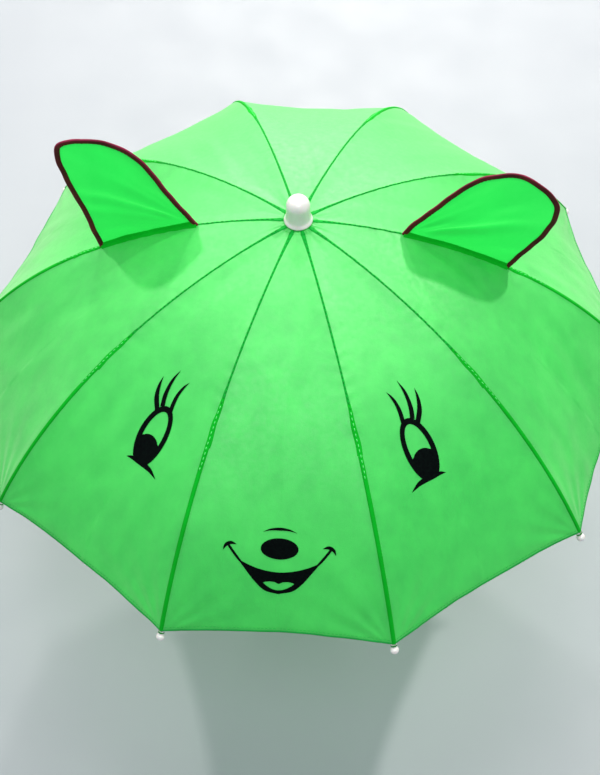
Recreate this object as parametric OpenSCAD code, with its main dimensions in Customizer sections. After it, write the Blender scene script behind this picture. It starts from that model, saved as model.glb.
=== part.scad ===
// Children's stick umbrella with ten gores and two cloth ears.
// Origin at the middle of the hand grip, +Z along the shaft towards the finial,
// -Y towards the front gore that carries the mouth, ears on the +X and -X ribs.

/* [Canopy] */
// Radius of the dome's curve along a rib, outside of the cloth
dome_r = 368; // [364:1:372]
// Slope of the cloth at the hem, measured down from level
slope_rim = 58.25; // [57.5:0.25:59]
// Thickness of the cloth solid
cloth_t = 0.6; // [0.5:0.1:0.8]

/* [Frame] */
// Height of the rib hinges above the grip's middle
crown_z = 420; // [410:1:440]
// Radius of the circle of rib hinges, and of stretcher hinges
hinge_r = 11; // [10.8:0.1:11.5]
// Length of a stretcher between its two pivots
stretcher_len = 155; // [150:1:160]
// Place of the stretcher's joint along the rib, as a share of the rib
joint_share = 0.40; // [0.38:0.01:0.42]
// Width of the U-section ribs
rib_w = 2.6; // [2.4:0.1:2.7]
// Height of the U-section ribs
rib_h = 2.4; // [2.2:0.1:2.5]

/* [Shaft] */
// Outside radius of the shaft tube
shaft_r = 4.5; // [4.4:0.05:4.6]
// Wall of the shaft tube
shaft_wall = 0.6; // [0.5:0.1:0.8]
// Height of the finial
finial_h = 26.8; // [24:0.2:30]

/* [Handle] */
// Radius of the grip
grip_r = 8.6; // [8:0.1:9]
// Radius of the hook's centre line
hook_r = 26; // [24:1:28]

/* [Ears] */
// Thickness of an ear flap
ear_t = 1.2; // [1:0.1:1.6]
// Width of the binding round an ear
binding_w = 3.2; // [2.5:0.1:4]

/* [Hidden] */
rib_count = 10;
half_gore = 180 / rib_count;
dome_offset = -9;
slope_top = 2.5;
slope_rib_end = slope_rim + 0.35;
slope_panel_top = 3.6;
cloth_gap = 0.2;
rows = 16;
columns = 3;

rib_wall = 0.5;
rib_top_r = dome_r - cloth_t - 0.6;
rib_mid_r = rib_top_r - rib_h / 2;
hinge_slope = asin((hinge_r - dome_offset) / rib_mid_r);
centre_z = crown_z - rib_mid_r * cos(hinge_slope);
eye_r = 1.4;
wire_r = 0.55;
eye_bore_r = 0.62;
web_t = rib_w - 2 * rib_wall;

joint_drop = 3;
joint_slope = hinge_slope + joint_share * (slope_rim - hinge_slope);
joint_r = dome_offset + (rib_mid_r - joint_drop) * sin(joint_slope);
joint_z = centre_z + (rib_mid_r - joint_drop) * cos(joint_slope);
runner_z = joint_z - sqrt(pow(stretcher_len, 2) - pow(joint_r - hinge_r, 2));
stretcher_rise = acos((joint_r - hinge_r) / stretcher_len);
fork_len = 20;
fork_gap = 3.4;
fork_t = 0.8;

slot_w = 3.2;
slot_r = 9;
crown_r = 13;
flange_r = 13.5;
sleeve_r = 8.6;
sleeve_len = 30;
slide_gap = 0.07;
catch_w = 1.8;
catch_out = 2.1;
catch_len = 14;
runner_travel = 168.6;
top_catch_z = runner_z - sleeve_len - 0.4;
bottom_catch_z = runner_z - runner_travel - 12;

handle_top = 48;
handle_bore = 52;
hook_z = -36;
hook_tip = 12;

ball_r = 3.6;
ball_reach = 7;
ear_inner = [172, -14, 88];
ear_outer = [88, 18, 104];
canopy_top_z = centre_z + dome_r * cos(slope_top);

steel = [0.72, 0.74, 0.76];
white = [0.95, 0.95, 0.93];
green = [0.30, 0.85, 0.38];
maroon = [0.30, 0.07, 0.10];

// Point in a rib's own X-Z plane at a slope and a distance from the dome's centre
function rib_point(slope, radius) =
  [dome_offset + radius * sin(slope), 0, centre_z + radius * cos(slope)];

// Half the straight distance between two neighbouring ribs at a slope
function half_chord(slope) = rib_point(slope, dome_r)[0] * sin(half_gore);

// Point of the cloth: share -1 to 1 runs from one gore's middle over the rib to the next
function cloth_point(slope, across, depth) =
  let (side = sign(across))
  let (along = [-sin(half_gore), side * cos(half_gore), 0] * abs(across))
  let (lean = side * half_gore)
  let (out = [sin(slope) * cos(lean), sin(slope) * sin(lean), cos(slope)])
  rib_point(slope, dome_r) + along - depth * out;

// Places a part on rib number k
module on_rib(k) {
  rotate([0, 0, 360 / rib_count * k]) children();
}

// Sweeps a section, given as distance from the dome's centre and width, along a rib
module rib_sweep(slope_from, slope_to) {
  translate([dome_offset, 0, centre_z])
    rotate([90, 0, 0])
      rotate([0, 0, 90 - slope_to])
        rotate_extrude(angle = slope_to - slope_from, $fn = 360)
          children();
}

// A cylinder lying across the rib plane
module cross_pin(radius, width) {
  rotate([90, 0, 0]) cylinder(r = radius, h = width, center = true, $fn = 32);
}

// Closed strip of cloth between two slopes and two distances from the rib line.
// Columns across are given as a list of shares of the width at each slope.
module cloth_strip(slopes, shares, fixed_width, top_depth, thickness) {
  n = len(slopes);
  m = len(shares);
  size = n * m;
  function across(i, j) =
    shares[j] * (fixed_width > 0 ? fixed_width : half_chord(slopes[i]) - cloth_gap);
  outer = [for (i = [0 : n - 1]) for (j = [0 : m - 1])
    cloth_point(slopes[i], across(i, j), top_depth)];
  inner = [for (i = [0 : n - 1]) for (j = [0 : m - 1])
    cloth_point(slopes[i], across(i, j), top_depth + thickness)];
  function quad(a, b, c, d) = [[a, b, c], [a, c, d]];
  top_faces = [for (i = [0 : n - 2]) for (j = [0 : m - 2])
    each quad(i * m + j, i * m + j + 1, (i + 1) * m + j + 1, (i + 1) * m + j)];
  low_faces = [for (i = [0 : n - 2]) for (j = [0 : m - 2])
    each quad(size + i * m + j, size + (i + 1) * m + j,
      size + (i + 1) * m + j + 1, size + i * m + j + 1)];
  end_faces = [for (j = [0 : m - 2])
    each concat(
      quad(j, size + j, size + j + 1, j + 1),
      quad((n - 1) * m + j, (n - 1) * m + j + 1,
        size + (n - 1) * m + j + 1, size + (n - 1) * m + j))];
  side_faces = [for (i = [0 : n - 2])
    each concat(
      quad(i * m, (i + 1) * m, size + (i + 1) * m, size + i * m),
      quad(i * m + m - 1, size + i * m + m - 1,
        size + (i + 1) * m + m - 1, (i + 1) * m + m - 1))];
  polyhedron(concat(outer, inner), concat(top_faces, low_faces, end_faces, side_faces));
}

// Steel tube with two slots for the catches
module shaft_tube() {
  low = handle_top - handle_bore;
  high = crown_z + 16;
  color(steel)
    difference() {
      translate([0, 0, low]) cylinder(r = shaft_r, h = high - low, $fn = 64);
      translate([0, 0, low - 1])
        cylinder(r = shaft_r - shaft_wall, h = high - low + 2, $fn = 64);
      for (z = [top_catch_z, bottom_catch_z])
        translate([-catch_w / 2 - 0.3, 0, z - catch_len - 1])
          cube([catch_w + 0.6, shaft_r + 2, catch_len + 1.6]);
    }
}

// Hooked plastic handle with a collar and a blind bore for the tube
module handle() {
  color(white)
    difference() {
      union() {
        translate([0, 0, hook_z]) cylinder(r = grip_r, h = handle_top - 4 - hook_z, $fn = 64);
        translate([0, 0, handle_top - 10]) cylinder(r = grip_r + 1.2, h = 6, $fn = 64);
        translate([0, 0, handle_top - 4]) cylinder(r1 = grip_r + 1.2, r2 = 6.4, h = 4, $fn = 64);
        translate([0, hook_r, hook_z])
          rotate([90, 0, 90])
            rotate([0, 0, 180])
              rotate_extrude(angle = 180, $fn = 128)
                translate([hook_r, 0]) circle(r = grip_r, $fn = 64);
        translate([0, 2 * hook_r, hook_z]) cylinder(r = grip_r, h = hook_tip, $fn = 64);
        translate([0, 2 * hook_r, hook_z + hook_tip]) sphere(r = grip_r, $fn = 64);
      }
      translate([0, 0, handle_top - handle_bore])
        cylinder(r = shaft_r, h = handle_bore + 1, $fn = 64);
    }
}

// White cap with a flared foot and a domed top, pushed on the end of the tube
module finial_cap() {
  dome = 9.85;
  foot_r = 11.8;
  foot_h = 4;
  color(white)
    translate([0, 0, canopy_top_z + 0.1])
      difference() {
        union() {
          cylinder(r = foot_r, h = 1, $fn = 96);
          translate([0, 0, 1]) cylinder(r1 = foot_r, r2 = dome, h = foot_h - 1, $fn = 96);
          translate([0, 0, foot_h]) cylinder(r = dome, h = finial_h - dome - foot_h, $fn = 96);
          translate([0, 0, finial_h - dome]) sphere(r = dome, $fn = 96);
        }
        translate([0, 0, -1]) cylinder(r = shaft_r, h = 15, $fn = 64);
      }
}

// Ten radial slots, open at the rim, top and bottom
module radial_slots(z_low, z_high) {
  for (k = [0 : rib_count - 1])
    on_rib(k) translate([slot_r, -slot_w / 2, z_low]) cube([10, slot_w, z_high - z_low]);
}

// Groove that holds the ring wire
module wire_groove(z) {
  translate([0, 0, z])
    rotate_extrude($fn = 96)
      translate([hinge_r - wire_r - 0.05, -wire_r - 0.1]) square([10, 2 * wire_r + 0.2]);
}

// Notched plastic hub that the ribs hinge in
module crown() {
  color(white)
    difference() {
      translate([0, 0, crown_z - 5.5]) cylinder(r = crown_r, h = 6.8, $fn = 96);
      translate([0, 0, crown_z - 9]) cylinder(r = shaft_r, h = 20, $fn = 64);
      radial_slots(crown_z - 7, crown_z + 4);
      wire_groove(crown_z);
    }
}

// Ring wire threaded through the ten eyes
module ring_wire(z) {
  color(steel)
    translate([0, 0, z])
      rotate_extrude($fn = 120)
        translate([hinge_r, 0]) circle(r = wire_r, $fn = 24);
}

// Centre of the cloth, clamped between the crown and the finial
module canopy_centre() {
  hole = shaft_r + 0.2;
  rim = rib_point(slope_panel_top, dome_r)[0] * cos(half_gore) - 0.3;
  top = canopy_top_z - 0.1;
  edge = centre_z + dome_r * cos(slope_panel_top);
  color(green)
    rotate_extrude($fn = 96)
      polygon([[hole, top - cloth_t], [rim, edge - cloth_t], [rim, edge], [hole, top]]);
}

// Sliding sleeve with a notched flange and a keyway that clears the catches
module runner() {
  color(white)
    difference() {
      union() {
        translate([0, 0, runner_z - sleeve_len]) cylinder(r = sleeve_r, h = sleeve_len + 3, $fn = 96);
        translate([0, 0, runner_z - sleeve_len]) cylinder(r = sleeve_r + 1.6, h = 2.5, $fn = 96);
        translate([0, 0, runner_z - 5.5]) cylinder(r = flange_r, h = 6.8, $fn = 96);
      }
      translate([0, 0, runner_z - sleeve_len - 1])
        cylinder(r = shaft_r + slide_gap, h = sleeve_len + 6, $fn = 64);
      radial_slots(runner_z - 7, runner_z + 4);
      wire_groove(runner_z);
      translate([-catch_w / 2 - 0.4, 0, runner_z - sleeve_len - 1])
        cube([catch_w + 0.8, shaft_r + catch_out + 0.4, sleeve_len + 6]);
    }
}

// Wedge of a catch spring that stands out of the tube, square at its top
module catch_spring(z) {
  color(steel)
    translate([-catch_w / 2, 0, z])
      rotate([90, 0, 90])
        linear_extrude(catch_w)
          polygon([
            [0.6, 0], [shaft_r + catch_out, 0], [shaft_r + catch_out, -1.5],
            [shaft_r - 0.4, -catch_len], [0.6, -catch_len]
          ]);
}

// U-section rib with a hinge eye at the crown and a lug for the stretcher
module rib(k) {
  start = hinge_slope + 0.35;
  color(steel)
    on_rib(k)
      difference() {
        union() {
          rib_sweep(start, slope_rib_end)
            difference() {
              translate([rib_top_r - rib_h, -rib_w / 2]) square([rib_h, rib_w]);
              translate([rib_top_r - rib_h - 1, -web_t / 2]) square([rib_h + 1 - rib_wall, web_t]);
            }
          rib_sweep(hinge_slope, hinge_slope + 0.9)
            translate([rib_mid_r - 1, -web_t / 2]) square([2, web_t]);
          translate(rib_point(hinge_slope, rib_mid_r)) cross_pin(eye_r, web_t);
          rib_sweep(joint_slope - 0.5, joint_slope + 0.5)
            translate([rib_mid_r - joint_drop, -web_t / 2]) square([joint_drop + 0.9, web_t]);
          translate([joint_r, 0, joint_z]) cross_pin(1.8, web_t);
          translate([joint_r, 0, joint_z]) cross_pin(0.9, fork_gap - 0.6);
        }
        translate(rib_point(hinge_slope, rib_mid_r)) cross_pin(eye_bore_r, 4);
      }
}

// Strut from the runner to the rib, forked at its outer end
module stretcher(k) {
  bar_h = 2.6;
  bar_end = stretcher_len - fork_len;
  color(steel)
    on_rib(k)
      translate([hinge_r, 0, runner_z])
        rotate([0, -stretcher_rise, 0])
          difference() {
            union() {
              cross_pin(eye_r, web_t);
              translate([0, -web_t / 2, -1]) cube([4, web_t, 2]);
              translate([3, -rib_w / 2, -bar_h / 2]) cube([bar_end - 1, rib_w, bar_h]);
              translate([bar_end, -fork_gap / 2 - fork_t, -bar_h / 2])
                cube([3, fork_gap + 2 * fork_t, bar_h]);
              for (side = [-1, 1])
                translate([stretcher_len, side * (fork_gap + fork_t) / 2, 0]) {
                  cross_pin(bar_h / 2, fork_t);
                  translate([-fork_len + 1, -fork_t / 2, -bar_h / 2])
                    cube([fork_len - 1, fork_t, bar_h]);
                  translate([0, side * 0.5, 0]) cross_pin(1, fork_t + 0.4);
                }
            }
            cross_pin(eye_bore_r, 4);
            translate([6, -web_t / 2, -bar_h / 2 - 1])
              cube([bar_end - 8, web_t, bar_h + 1 - rib_wall]);
          }
}

// White ball with a short socket on the end of a rib
module rib_tip(k) {
  color(white)
    on_rib(k)
      translate(rib_point(slope_rim, rib_mid_r))
        rotate([0, 90 + slope_rim, 0])
          difference() {
            union() {
              translate([0, 0, ball_reach]) sphere(r = ball_r, $fn = 48);
              translate([0, 0, 0.6]) cylinder(r = 2.4, h = ball_reach - 1, $fn = 48);
            }
            translate([0, 0, -1]) cylinder(r = 1.9, h = 5, $fn = 32);
          }
}

// Cloth centred on one rib, out to the middle of the gore on each side
module canopy(k) {
  slopes = [for (i = [0 : rows]) slope_panel_top + (slope_rim - slope_panel_top) * i / rows];
  shares = [for (j = [-columns : columns]) j / columns];
  color(green) on_rib(k) cloth_strip(slopes, shares, 0, 0, cloth_t);
}

// Outline of an ear in its rib's plane, drawn in by an inset
module ear_outline(inset) {
  difference() {
    intersection() {
      translate([ear_inner[0], ear_inner[1]]) circle(r = ear_inner[2] - inset, $fn = 180);
      translate([ear_outer[0], ear_outer[1]]) circle(r = ear_outer[2] - inset, $fn = 180);
    }
    translate([dome_offset, centre_z - canopy_top_z]) circle(r = dome_r, $fn = 720);
  }
}

// Stands an outline up in the plane of rib k
module stand_on_rib(k, thickness) {
  on_rib(k)
    translate([0, thickness / 2, canopy_top_z])
      rotate([90, 0, 0])
        linear_extrude(thickness) children();
}

// Flap of doubled cloth standing up from a seam
module ear(k) {
  color(green) stand_on_rib(k, ear_t) ear_outline(binding_w);
}

// Dark binding round the free edge of an ear
module ear_binding(k) {
  color(maroon)
    stand_on_rib(k, ear_t + 1.2)
      difference() {
        ear_outline(0);
        intersection() {
          translate([ear_inner[0], ear_inner[1]])
            circle(r = ear_inner[2] - binding_w, $fn = 180);
          translate([ear_outer[0], ear_outer[1]])
            circle(r = ear_outer[2] - binding_w, $fn = 180);
        }
      }
}

// Closing strap that lies along the inside of the cloth from the hem
module tie_strap() {
  slopes = [for (i = [0 : 8]) 38 + (slope_rim - 1 - 38) * i / 8];
  color(green) on_rib(3) cloth_strip(slopes, [0.3, 1], 20, cloth_t + 0.3, 1);
}

shaft_tube();
handle();
finial_cap();
crown();
ring_wire(crown_z);  // crown_wire
canopy_centre();
runner();
ring_wire(runner_z);  // runner_wire
catch_spring(top_catch_z);  // top_catch
catch_spring(bottom_catch_z);  // bottom_catch
for (k = [0 : rib_count - 1]) {
  rib(k);
  stretcher(k);
  rib_tip(k);
  canopy(k);
}
ear(0);  // ear_right
ear(5);  // ear_left
ear_binding(0);  // ear_binding_right
ear_binding(5);  // ear_binding_left
tie_strap();
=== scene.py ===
import math

import bmesh
import bpy
import numpy as np
from mathutils import Matrix, Vector


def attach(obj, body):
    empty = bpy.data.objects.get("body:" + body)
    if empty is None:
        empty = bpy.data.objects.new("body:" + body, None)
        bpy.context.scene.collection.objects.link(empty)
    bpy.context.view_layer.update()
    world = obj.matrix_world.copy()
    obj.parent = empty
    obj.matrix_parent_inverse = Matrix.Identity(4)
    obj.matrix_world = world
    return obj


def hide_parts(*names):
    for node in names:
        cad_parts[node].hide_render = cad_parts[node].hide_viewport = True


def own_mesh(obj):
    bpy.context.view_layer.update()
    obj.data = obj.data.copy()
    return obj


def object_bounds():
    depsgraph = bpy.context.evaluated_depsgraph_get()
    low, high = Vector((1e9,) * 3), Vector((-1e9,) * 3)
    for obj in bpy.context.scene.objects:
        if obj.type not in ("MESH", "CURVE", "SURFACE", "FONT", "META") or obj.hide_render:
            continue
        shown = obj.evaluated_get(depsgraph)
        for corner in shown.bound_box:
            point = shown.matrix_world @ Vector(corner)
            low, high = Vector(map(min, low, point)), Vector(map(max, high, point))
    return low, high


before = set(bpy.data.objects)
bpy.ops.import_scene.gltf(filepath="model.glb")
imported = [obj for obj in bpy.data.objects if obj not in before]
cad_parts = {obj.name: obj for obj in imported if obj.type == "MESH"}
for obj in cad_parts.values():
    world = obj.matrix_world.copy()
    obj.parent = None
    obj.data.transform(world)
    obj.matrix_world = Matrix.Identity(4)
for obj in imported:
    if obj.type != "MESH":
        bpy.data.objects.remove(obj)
cad_box = [list(corner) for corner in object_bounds()]

# The frame's own measures, in metres and radians. A slope is an angle from straight up at the dome's centre.
GORES = 10
HALF = math.pi / GORES
DOME_R = 0.368
DOME_X = -0.009
RIB_TOP = 0.3668
RIB_MID = 0.3656
HINGE_R = 0.011
HINGE_Z = 0.42
CENTRE_Z = HINGE_Z - RIB_MID * math.cos(math.asin((HINGE_R - DOME_X) / RIB_MID))
SLOPE_CAP = math.radians(2.5)
SLOPE_TOP = math.radians(3.6)
SLOPE_RIM = math.radians(58.25)
# The wider band towards the hem is painted dark: partly the doubled seam, partly painted shadow of the rib
# under the cloth.
SEAM_CHANGE = math.radians(33.4)  # the seam is narrow down to this slope, and a wider rib line below
CANOPY_TOP = CENTRE_Z + DOME_R * math.cos(SLOPE_CAP)
MM = 0.001
STRIP = 0.015  # the cloth lies flat this far to each side of a rib when the umbrella is closed
WEAVE = 0.00045  # from thread to thread


# ---- small tools
def smooth_noise(x, y, seed):
    """Repeatable noise from -1 to 1 between a grid of whole numbers."""
    i, j = np.floor(x).astype(np.int64), np.floor(y).astype(np.int64)
    fx, fy = x - i, y - j
    fx, fy = fx * fx * (3 - 2 * fx), fy * fy * (3 - 2 * fy)

    def at(a, b):
        n = (a * 73856093) ^ (b * 19349663) ^ (np.int64(seed) * 83492791)
        n = (n & 0x7FFFFFFF) * 1103515245 + 12345
        n = ((n >> 7) ^ n) & 0x7FFFFFFF
        n = (n * 48271 + 11) & 0x7FFFFFFF
        return ((n >> 5) & 0xFFFFF) / 524288.0 - 1

    low = at(i, j) * (1 - fx) + at(i + 1, j) * fx
    high = at(i, j + 1) * (1 - fx) + at(i + 1, j + 1) * fx
    return low * (1 - fy) + high * fy


def ramp(x, low, high):
    t = np.clip((x - low) / (high - low), 0, 1)
    return t * t * (3 - 2 * t)


def spline(points, steps):
    """A smooth curve through the points, steps samples from end to end."""
    p = np.array(points, float)
    p = np.vstack([2 * p[0] - p[1], p, 2 * p[-1] - p[-2]])
    where = np.linspace(0, len(p) - 3 - 1e-9, steps)
    i = where.astype(int)
    t = (where - i)[:, None]
    a, b, c, d = p[i], p[i + 1], p[i + 2], p[i + 3]
    cubic = (3 * b - a - 3 * c + d) * t**3
    return 0.5 * (2 * b + (c - a) * t + (2 * a - 5 * b + 4 * c - d) * t**2 + cubic)


def unit(v):
    return v / np.maximum(np.linalg.norm(v, axis=-1, keepdims=True), 1e-12)


def circle(steps):
    """Evenly spaced angles once round."""
    return np.linspace(0, 2 * math.pi, steps, endpoint=False)


def circle_points(steps):
    return np.stack([np.cos(circle(steps)), np.sin(circle(steps))], -1)


def travelled(line):
    """The distance along a line of points, from 0 at its start."""
    return np.concatenate([[0], np.cumsum(np.linalg.norm(np.diff(line, axis=0), axis=1))])


def second_material(obj, material, chosen):
    """Gives the chosen faces, a list of true and false, another material."""
    obj.data.materials.append(material)
    obj.data.polygons.foreach_set("material_index", np.asarray(chosen, np.int32))
    return obj


def turned(k, x, y, z):
    """Points given as if for rib 0, turned to rib k. A half more is the middle of gore k."""
    c, s = np.cos(2 * HALF * k), np.sin(2 * HALF * k)
    return np.stack([x * c - y * s, x * s + y * c, z], -1)


def mirrored(half):
    """A whole section from its left half, given from the edge inwards."""
    half = np.array(half)
    other = half[::-1] * (-1, 1)
    return np.vstack([half, other[1:] if half[-1, 0] == 0 else other])


def make(name, points, faces, material, smooth=None, normals=None, uv=None):
    """A mesh object from arrays. smooth is the angle in degrees above which an edge is sharp."""
    mesh = bpy.data.meshes.new(name)
    points = np.asarray(points, float).reshape(-1, 3)
    mesh.from_pydata(points.tolist(), [], [list(map(int, f)) for f in faces])
    mesh.validate()
    mesh.polygons.foreach_set("use_smooth", np.ones(len(mesh.polygons), bool))
    if uv is not None:
        layer = mesh.uv_layers.new(name="weave")
        loops = np.zeros(len(mesh.loops), np.int32)
        mesh.loops.foreach_get("vertex_index", loops)
        layer.data.foreach_set("uv", np.asarray(uv, np.float32).reshape(-1, 2)[loops].ravel())
    if smooth is not None:
        mesh.set_sharp_from_angle(angle=math.radians(smooth))
    if normals is not None:
        mesh.normals_split_custom_set_from_vertices(np.reshape(normals, (-1, 3)).tolist())
    mesh.materials.append(material)
    obj = bpy.data.objects.new(name, mesh)
    bpy.context.scene.collection.objects.link(obj)
    return obj


def grid_faces(rows, cols, wrap_rows=False, wrap_cols=False, start=0, flip=False):
    """The four-sided faces of a grid of points, which may close on itself either way."""
    faces = []
    for i in range(rows if wrap_rows else rows - 1):
        here, below = start + i * cols, start + (i + 1) % rows * cols
        for j in range(cols if wrap_cols else cols - 1):
            k = (j + 1) % cols
            face = (here + j, below + j, below + k, here + k)
            faces.append(face[::-1] if flip else face)
    return faces


def lathe(name, profile, material, steps, place, smooth=38):
    """Turns a profile of (radius, height) pairs, in millimetres, about +Z, then places it."""
    radius, height = (np.array(profile) * MM).T[..., None]
    c, s = circle_points(steps).T
    points = np.stack([radius * c, radius * s, np.repeat(height, steps, 1)], -1)
    obj = make(name, points, grid_faces(len(profile), steps, wrap_cols=True, flip=True), material)
    mesh = bmesh.new()
    mesh.from_mesh(obj.data)
    bmesh.ops.remove_doubles(mesh, verts=mesh.verts, dist=1e-6)
    mesh.to_mesh(obj.data)
    mesh.free()
    obj.data.set_sharp_from_angle(angle=math.radians(smooth))
    obj.data.transform(place)
    return obj


def sweep(path, across, out, section):
    """Rings of a section, as (across, out) pairs, along a path with its own two directions."""
    return path[:, None] + across[:, None] * section[..., 0, None] + out[:, None] * section[..., 1, None]


def tube_parts(path, radius, sides, closed=False):
    """Points and faces of a tube along a path, its ends closed."""
    n = len(path)
    tangent = unit(np.roll(path, -1, 0) - np.roll(path, 1, 0) if closed else np.gradient(path, axis=0))
    side = np.cross(tangent[0], [0.31, 0.42, 0.85])
    sides_at = []
    for t in tangent:
        side = unit(side - t * (side @ t))
        sides_at.append(side)
    side = np.array(sides_at)
    rings = sweep(path, side, np.cross(tangent, side), radius * circle_points(sides))
    faces = grid_faces(n, sides, wrap_rows=closed, wrap_cols=True, flip=True)
    if not closed:
        faces.append(tuple(range(sides))[::-1])
        faces.append(tuple((n - 1) * sides + j for j in range(sides)))
    return rings.reshape(-1, 3), faces


def join_parts(parts):
    """One list of points and faces from several."""
    points, faces, start = [], [], 0
    for p, f in parts:
        points.append(p)
        faces += [tuple(start + i for i in face) for face in f]
        start += len(p)
    return np.vstack(points), faces


def stitches(centres, along, out, length, radius):
    """Short rounded stitches lying on a surface, as points and faces."""
    shape = np.array([-0.5, -0.42, -0.2, 0.2, 0.42, 0.5])
    thick = np.array([0.25, 0.8, 1.0, 1.0, 0.8, 0.25])
    height = np.array([-0.6, 0.1, 0.55, 0.55, 0.1, -0.6])
    along = unit(along)
    side = unit(np.cross(unit(out), along))
    out = np.cross(along, side)
    c, s = circle_points(6).T
    wide = np.outer(thick, c) * radius
    high = (np.outer(thick, s) + height[:, None]) * radius
    rings = centres[:, None, None] + along[:, None, None] * (shape * length)[:, None, None]
    rings = rings + side[:, None, None] * wide[..., None] + out[:, None, None] * high[..., None]
    one = grid_faces(6, 6, wrap_cols=True, flip=True) + [(5, 4, 3, 2, 1, 0), (30, 31, 32, 33, 34, 35)]
    faces = [tuple(36 * n + i for i in f) for n in range(len(centres)) for f in one]
    return rings.reshape(-1, 3), faces


# ---- materials
class Shader:
    """A material and short ways to add nodes to it."""

    def __init__(self, name):
        self.material = bpy.data.materials.new(name)
        self.material.use_nodes = True
        self.tree = self.material.node_tree
        self.main = self.tree.nodes["Principled BSDF"]
        self.output = self.tree.nodes["Material Output"]

    def node(self, kind, **values):
        made = self.tree.nodes.new("ShaderNode" + kind)
        for key, value in values.items():
            if hasattr(made, key) and key not in made.inputs:
                setattr(made, key, value)
            else:
                made.inputs[key.replace("_", " ")].default_value = value
        return made

    def link(self, a, b):
        self.tree.links.new(a, b)

    def surface(self, colour, rough, normal=None, **values):
        """Links and sets the main shader's inputs, and gives the finished material."""
        for key, output in (("Base Color", colour), ("Roughness", rough), ("Normal", normal)):
            if output is not None:
                self.link(output, self.main.inputs[key])
        for key, value in values.items():
            self.main.inputs[key.replace("_", " ")].default_value = value
        return self.material

    def fill(self, *pairs):
        """Links each socket to its value where that is an output, or else sets the value on it."""
        for value, socket in pairs:
            if isinstance(value, bpy.types.NodeSocket):
                self.link(value, socket)
            else:
                socket.default_value = (*value, 1.0) if isinstance(value, tuple) else value

    def noise(self, scale, detail=3.0, rough=0.5, stretch=None):
        made = self.node("TexNoise", Scale=scale, Detail=detail, Roughness=rough)
        coords = self.node("TexCoord").outputs["Object"]
        if stretch is not None:
            mapping = self.node("Mapping", Scale=stretch)
            self.link(coords, mapping.inputs["Vector"])
            coords = mapping.outputs["Vector"]
        self.link(coords, made.inputs["Vector"])
        return made.outputs["Fac"]

    def range(self, value, low, high, to_low=0.0, to_high=1.0):
        made = self.node("MapRange", From_Min=low, From_Max=high, To_Min=to_low, To_Max=to_high)
        self.link(value, made.inputs["Value"])
        return made.outputs["Result"]

    def mix(self, factor, a, b):
        made = self.node("Mix", data_type="RGBA")
        self.fill((factor, made.inputs[0]), (a, made.inputs[6]), (b, made.inputs[7]))
        return made.outputs[2]

    def math(self, operation, a, b):
        made = self.node("Math", operation=operation)
        self.fill((a, made.inputs[0]), (b, made.inputs[1]))
        return made.outputs[0]

    def weave(self):
        """Height of a plain weave over the sheet's own flat coordinates, which are in metres."""
        bands = []
        for way in ("X", "Y"):
            wave = self.node("TexWave", wave_type="BANDS", bands_direction=way, wave_profile="SIN")
            self.fill((math.pi / (10 * WEAVE), wave.inputs["Scale"]), (0.0, wave.inputs["Distortion"]))
            self.link(self.node("TexCoord").outputs["UV"], wave.inputs["Vector"])
            bands.append(wave.outputs["Fac"])
        return self.math("MULTIPLY", *bands)

    def bump(self, height, strength, distance, normal=None):
        made = self.node("Bump", Strength=strength, Distance=distance)
        self.link(height, made.inputs["Height"])
        if normal is not None:
            self.link(normal, made.inputs["Normal"])
        return made.outputs["Normal"]


def cloth_material(name, light, dark, through, share, weave=True, rough=0.56, gloss=1.0, sheen=0.35):
    """Thin woven synthetic that lets light through; share is how much goes through."""
    s = Shader(name)
    broad = s.range(s.noise(11.0, 3.0, 0.55), 0.36, 0.64)
    streaks = s.range(s.noise(60.0, 2.0, 0.6, (1.0, 1.0, 0.25)), 0.3, 0.7, 0.0, 0.45)
    colour = s.mix(s.math("ADD", s.math("MULTIPLY", broad, 0.55), streaks), dark, light)
    normal = s.bump(s.weave(), 0.25, 0.00008) if weave else None
    normal = s.bump(s.noise(420.0, 3.0, 0.6), 0.25, 0.0003, normal)
    lit = s.node("BsdfTranslucent")
    s.link(s.mix(broad, through, tuple(0.86 * c for c in through)), lit.inputs["Color"])
    s.link(normal, lit.inputs["Normal"])
    both = s.node("MixShader")
    s.fill((share, both.inputs[0]), (s.main.outputs[0], both.inputs[1]), (lit.outputs[0], both.inputs[2]))
    s.link(both.outputs[0], s.output.inputs["Surface"])
    rough = s.range(s.noise(240.0, 2.0), 0.3, 0.7, rough - 0.06, rough + 0.08)
    sheens = dict(Sheen_Weight=sheen, Sheen_Roughness=0.5, Sheen_Tint=(1.0, 1.0, 0.82, 1.0))
    return s.surface(colour, rough, normal, IOR=1.62, Specular_IOR_Level=gloss, **sheens)


def sewn_material(name, light, dark, through, share=0.15, rough=0.7, gloss=0.05, sheen=0.02):
    """The same cloth where it is folded and sewn: less light gets through and it shines less."""
    return cloth_material(name, light, dark, through, share, False, rough, gloss, sheen)


def plastic_material(name):
    s = Shader(name)
    colour = s.mix(s.range(s.noise(35.0, 2.0), 0.3, 0.7), (0.6, 0.59, 0.57), (0.66, 0.65, 0.62))
    rough = s.range(s.noise(900.0, 3.0, 0.6), 0.3, 0.7, 0.16, 0.3)
    normal = s.bump(s.noise(160.0, 2.0), 0.06, 0.0004)
    soft = dict(Coat_Weight=0.25, Coat_Roughness=0.12, Subsurface_Weight=0.12, Subsurface_Scale=0.002)
    return s.surface(colour, rough, normal, Specular_IOR_Level=0.5, **soft)


def steel_material(name):
    s = Shader(name)
    patina = s.range(s.noise(90.0, 4.0, 0.6), 0.35, 0.7)
    colour = s.mix(patina, (0.62, 0.63, 0.65), (0.5, 0.51, 0.52))
    scratches = s.bump(s.noise(700.0, 3.0, 0.7, (1.0, 1.0, 0.12)), 0.12, 0.0002)
    return s.surface(colour, s.range(patina, 0.0, 1.0, 0.23, 0.42), scratches, Metallic=1.0)


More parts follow.
